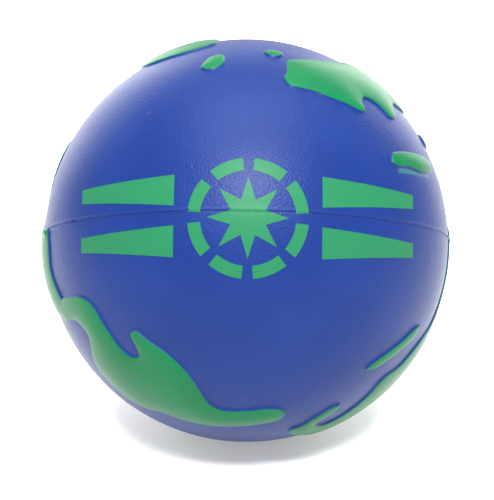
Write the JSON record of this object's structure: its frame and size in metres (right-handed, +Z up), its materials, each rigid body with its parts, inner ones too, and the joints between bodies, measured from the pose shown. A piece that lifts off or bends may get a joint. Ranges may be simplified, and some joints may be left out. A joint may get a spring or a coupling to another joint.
{
  "type": "globe stress ball",
  "caption": "Squeezable polyurethane foam ball moulded as a small globe, with a parting line round its equator and raised, green-painted land pads.",
  "frame": {"origin": "centre of the small flat on which the ball rests, straight below the ball's centre", "axes": "+Z up, -Y towards the viewer of the printed side, +X to that viewer's right; the globe's south pole points up and 27 degrees towards +Y"},
  "size_m": [0.0632, 0.0625, 0.0627],
  "materials": {
    "ocean_skin": "satin self-skinned polyurethane foam, mid blue",
    "land_paint": "flexible satin green paint over blue foam",
    "core_foam": "open-celled soft foam, pale blue",
    "imprint_ink": "flexible pad-printed ink, light green"
  },
  "bodies": {
    "root": {"foam_core": "core_foam", "southern_skin": "ocean_skin", "northern_skin": "ocean_skin", "parting_flash": "ocean_skin", "americas_pad": "land_paint", "eurasia_pad": "land_paint", "africa_pad": "land_paint", "antarctica_pad": "land_paint", "australia_pad": "land_paint", "greenland_pad": "land_paint", "new_guinea_pad": "land_paint", "japan_pad": "land_paint", "new_zealand_pad": "land_paint", "tasmania_pad": "land_paint", "timor_pad": "land_paint", "sumatra_pad": "land_paint", "madagascar_pad": "land_paint", "british_isles_pad": "land_paint", "iceland_pad": "land_paint", "newfoundland_pad": "land_paint", "cuba_pad": "land_paint"}
  },
  "joints": []
}
